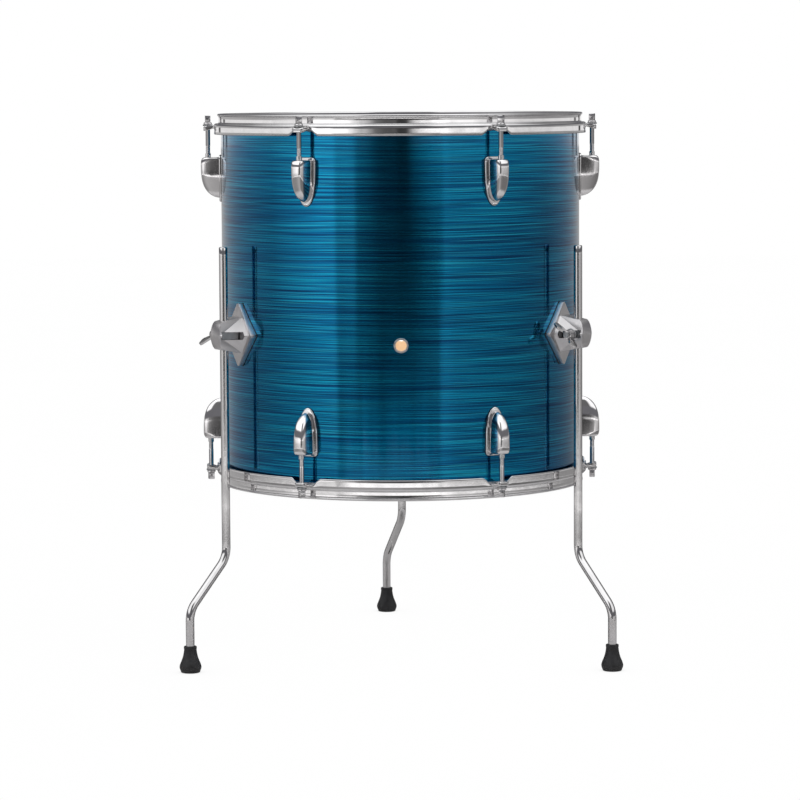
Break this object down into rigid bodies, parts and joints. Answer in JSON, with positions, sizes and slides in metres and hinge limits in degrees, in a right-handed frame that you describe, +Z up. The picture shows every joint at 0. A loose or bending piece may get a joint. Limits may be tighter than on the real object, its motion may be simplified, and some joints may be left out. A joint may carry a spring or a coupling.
{
  "type": "floor tom tom drum",
  "caption": "Cylindrical wrapped floor tom with two tunable heads in flanged metal hoops, bullet lugs, diamond leg brackets and bent adjustable legs with rubber feet.",
  "frame": {"origin": "centre of the batter head's playing surface, at the top of the drum", "axes": "+Z up along the drum's axis, out of the batter head; -Y towards the front, the side with the air vent; +X to the right of someone facing the front"},
  "size_m": [0.492, 0.5031, 0.6159],
  "materials": {
    "shell_wood": "natural plywood, sanded",
    "wrap": "high gloss streaked laminate",
    "head_film_coated": "white coated film",
    "head_film_clear": "milky translucent film",
    "flesh_hoop_alloy": "plain",
    "hoop_chrome": "polished",
    "rod_chrome": "polished",
    "washer_steel": "zinc plated",
    "lug_chrome": "polished",
    "nut_brass": "turned",
    "nylon": "natural nylon",
    "gasket_black": "matte",
    "bracket_chrome": "polished",
    "wing_chrome": "polished",
    "leg_chrome": "polished",
    "foot_rubber": "moulded, matte",
    "grommet_chrome": "polished"
  },
  "bodies": {
    "drum_body": {"drum_shell": "shell_wood", "shell_wrap": "wrap", "vent_grommet": "grommet_chrome", "batter_head_film": "head_film_coated", "resonant_head_film": "head_film_clear", "top_lugs": "lug_chrome", "top_lug_gaskets": "gasket_black", "top_swivel_nuts": "nut_brass", "top_nut_sleeves": "nylon", "bottom_lugs": "lug_chrome", "bottom_lug_gaskets": "gasket_black", "bottom_swivel_nuts": "nut_brass", "bottom_nut_sleeves": "nylon", "lug_screws": "washer_steel", "lug_screw_washers": "washer_steel", "left_leg_bracket": "bracket_chrome", "right_leg_bracket": "bracket_chrome", "rear_leg_bracket": "bracket_chrome", "bracket_gaskets": "gasket_black", "bracket_screws": "washer_steel", "bracket_screw_washers": "washer_steel", "clamp_washers": "washer_steel"},
    "top_hoop_assembly": {"top_hoop": "hoop_chrome", "batter_flesh_hoop": "flesh_hoop_alloy", "top_rod_washers": "washer_steel"},
    "bottom_hoop_assembly": {"bottom_hoop": "hoop_chrome", "resonant_flesh_hoop": "flesh_hoop_alloy", "bottom_rod_washers": "washer_steel"},
    "top_rod_1": {"top_tension_rod_1": "rod_chrome"},
    "top_rod_2": {"top_tension_rod_2": "rod_chrome"},
    "top_rod_3": {"top_tension_rod_3": "rod_chrome"},
    "top_rod_4": {"top_tension_rod_4": "rod_chrome"},
    "top_rod_5": {"top_tension_rod_5": "rod_chrome"},
    "top_rod_6": {"top_tension_rod_6": "rod_chrome"},
    "bottom_rod_1": {"bottom_tension_rod_1": "rod_chrome"},
    "bottom_rod_2": {"bottom_tension_rod_2": "rod_chrome"},
    "bottom_rod_3": {"bottom_tension_rod_3": "rod_chrome"},
    "bottom_rod_4": {"bottom_tension_rod_4": "rod_chrome"},
    "bottom_rod_5": {"bottom_tension_rod_5": "rod_chrome"},
    "bottom_rod_6": {"bottom_tension_rod_6": "rod_chrome"},
    "left_bush": {"left_leg_bush": "nylon"},
    "left_leg": {"left_leg_rod": "leg_chrome", "left_foot": "foot_rubber"},
    "left_bolt": {"left_clamp_bolt": "washer_steel"},
    "left_wing": {"left_wing_nut": "wing_chrome"},
    "right_bush": {"right_leg_bush": "nylon"},
    "right_leg": {"right_leg_rod": "leg_chrome", "right_foot": "foot_rubber"},
    "right_bolt": {"right_clamp_bolt": "washer_steel"},
    "right_wing": {"right_wing_nut": "wing_chrome"},
    "rear_bush": {"rear_leg_bush": "nylon"},
    "rear_leg": {"rear_leg_rod": "leg_chrome", "rear_foot": "foot_rubber"},
    "rear_bolt": {"rear_clamp_bolt": "washer_steel"},
    "rear_wing": {"rear_wing_nut": "wing_chrome"}
  },
  "joints": [
    {"name": "top_hoop_tuning", "type": "slide", "parent": "drum_body", "child": "top_hoop_assembly", "axis": [0, 0, 1], "range_m": [-0.001, 0.002]},
    {"name": "top_rod_1_turn", "type": "hinge", "parent": "top_hoop_assembly", "child": "top_rod_1", "pos_m": [0.1093, -0.18931, -0.005], "axis": [0, 0, 1], "range_deg": [-341.3, 681.5]},
    {"name": "top_rod_2_turn", "type": "hinge", "parent": "top_hoop_assembly", "child": "top_rod_2", "pos_m": [0.2186, 0, -0.005], "axis": [0, 0, 1], "range_deg": [-341.3, 681.5]},
    {"name": "top_rod_3_turn", "type": "hinge", "parent": "top_hoop_assembly", "child": "top_rod_3", "pos_m": [0.1093, 0.18931, -0.005], "axis": [0, 0, 1], "range_deg": [-341.3, 681.5]},
    {"name": "top_rod_4_turn", "type": "hinge", "parent": "top_hoop_assembly", "child": "top_rod_4", "pos_m": [-0.1093, 0.18931, -0.005], "axis": [0, 0, 1], "range_deg": [-341.3, 681.5]},
    {"name": "top_rod_5_turn", "type": "hinge", "parent": "top_hoop_assembly", "child": "top_rod_5", "pos_m": [-0.2186, 0, -0.005], "axis": [0, 0, 1], "range_deg": [-341.3, 681.5]},
    {"name": "top_rod_6_turn", "type": "hinge", "parent": "top_hoop_assembly", "child": "top_rod_6", "pos_m": [-0.1093, -0.18931, -0.005], "axis": [0, 0, 1], "range_deg": [-341.3, 681.5]},
    {"name": "bottom_hoop_tuning", "type": "slide", "parent": "drum_body", "child": "bottom_hoop_assembly", "axis": [0, 0, -1], "range_m": [-0.001, 0.002]},
    {"name": "bottom_rod_1_turn", "type": "hinge", "parent": "bottom_hoop_assembly", "child": "bottom_rod_1", "pos_m": [0.1093, -0.18931, -0.4019], "axis": [0, 0, -1], "range_deg": [-341.3, 681.5]},
    {"name": "bottom_rod_2_turn", "type": "hinge", "parent": "bottom_hoop_assembly", "child": "bottom_rod_2", "pos_m": [0.2186, 0, -0.4019], "axis": [0, 0, -1], "range_deg": [-341.3, 681.5]},
    {"name": "bottom_rod_3_turn", "type": "hinge", "parent": "bottom_hoop_assembly", "child": "bottom_rod_3", "pos_m": [0.1093, 0.18931, -0.4019], "axis": [0, 0, -1], "range_deg": [-341.3, 681.5]},
    {"name": "bottom_rod_4_turn", "type": "hinge", "parent": "bottom_hoop_assembly", "child": "bottom_rod_4", "pos_m": [-0.1093, 0.18931, -0.4019], "axis": [0, 0, -1], "range_deg": [-341.3, 681.5]},
    {"name": "bottom_rod_5_turn", "type": "hinge", "parent": "bottom_hoop_assembly", "child": "bottom_rod_5", "pos_m": [-0.2186, 0, -0.4019], "axis": [0, 0, -1], "range_deg": [-341.3, 681.5]},
    {"name": "bottom_rod_6_turn", "type": "hinge", "parent": "bottom_hoop_assembly", "child": "bottom_rod_6", "pos_m": [-0.1093, -0.18931, -0.4019], "axis": [0, 0, -1], "range_deg": [-341.3, 681.5]},
    {"name": "left_wing_nut_turn", "type": "hinge", "parent": "drum_body", "child": "left_wing", "pos_m": [-0.19659, -0.1135, -0.238], "axis": [-0.5, 0.866, 0], "range_deg": [0, 271]},
    {"name": "left_clamp_release", "type": "slide", "parent": "drum_body", "child": "left_bolt", "axis": [0.5, -0.866, 0], "range_m": [0, 0.00075]},
    {"name": "left_leg_swivel", "type": "hinge", "parent": "drum_body", "child": "left_bush", "pos_m": [-0.19659, -0.1135, -0.238], "axis": [0, 0, 1], "range_deg": [-106, 74]},
    {"name": "left_leg_height", "type": "slide", "parent": "left_bush", "child": "left_leg", "axis": [0, 0, 1], "range_m": [-0.075, 0.19]},
    {"name": "right_wing_nut_turn", "type": "hinge", "parent": "drum_body", "child": "right_wing", "pos_m": [0.19659, -0.1135, -0.238], "axis": [-0.5, -0.866, 0], "range_deg": [0, 271]},
    {"name": "right_clamp_release", "type": "slide", "parent": "drum_body", "child": "right_bolt", "axis": [0.5, 0.866, 0], "range_m": [0, 0.00075]},
    {"name": "right_leg_swivel", "type": "hinge", "parent": "drum_body", "child": "right_bush", "pos_m": [0.19659, -0.1135, -0.238], "axis": [0, 0, 1], "range_deg": [-69.3, 110.7]},
    {"name": "right_leg_height", "type": "slide", "parent": "right_bush", "child": "right_leg", "axis": [0, 0, 1], "range_m": [-0.075, 0.19]},
    {"name": "rear_wing_nut_turn", "type": "hinge", "parent": "drum_body", "child": "rear_wing", "pos_m": [0, 0.227, -0.238], "axis": [1, 0, 0], "range_deg": [0, 271]},
    {"name": "rear_clamp_release", "type": "slide", "parent": "drum_body", "child": "rear_bolt", "axis": [-1, 0, 0], "range_m": [0, 0.00075]},
    {"name": "rear_leg_swivel", "type": "hinge", "parent": "drum_body", "child": "rear_bush", "pos_m": [0, 0.227, -0.238], "axis": [0, 0, 1], "range_deg": [-110.3, 69.7]},
    {"name": "rear_leg_height", "type": "slide", "parent": "rear_bush", "child": "rear_leg", "axis": [0, 0, 1], "range_m": [-0.075, 0.19]}
  ],
  "couplings": [
    {"joint": "top_rod_1_turn", "follows": "top_hoop_tuning", "rad_per_m": 5938.7},
    {"joint": "top_rod_2_turn", "follows": "top_hoop_tuning", "rad_per_m": 5938.7},
    {"joint": "top_rod_3_turn", "follows": "top_hoop_tuning", "rad_per_m": 5938.7},
    {"joint": "top_rod_4_turn", "follows": "top_hoop_tuning", "rad_per_m": 5938.7},
    {"joint": "top_rod_5_turn", "follows": "top_hoop_tuning", "rad_per_m": 5938.7},
    {"joint": "top_rod_6_turn", "follows": "top_hoop_tuning", "rad_per_m": 5938.7},
    {"joint": "bottom_rod_1_turn", "follows": "bottom_hoop_tuning", "rad_per_m": 5938.7},
    {"joint": "bottom_rod_2_turn", "follows": "bottom_hoop_tuning", "rad_per_m": 5938.7},
    {"joint": "bottom_rod_3_turn", "follows": "bottom_hoop_tuning", "rad_per_m": 5938.7},
    {"joint": "bottom_rod_4_turn", "follows": "bottom_hoop_tuning", "rad_per_m": 5938.7},
    {"joint": "bottom_rod_5_turn", "follows": "bottom_hoop_tuning", "rad_per_m": 5938.7},
    {"joint": "bottom_rod_6_turn", "follows": "bottom_hoop_tuning", "rad_per_m": 5938.7},
    {"joint": "left_wing_nut_turn", "follows": "left_clamp_release", "rad_per_m": 6283.2},
    {"joint": "right_wing_nut_turn", "follows": "right_clamp_release", "rad_per_m": 6283.2},
    {"joint": "rear_wing_nut_turn", "follows": "rear_clamp_release", "rad_per_m": 6283.2}
  ]
}
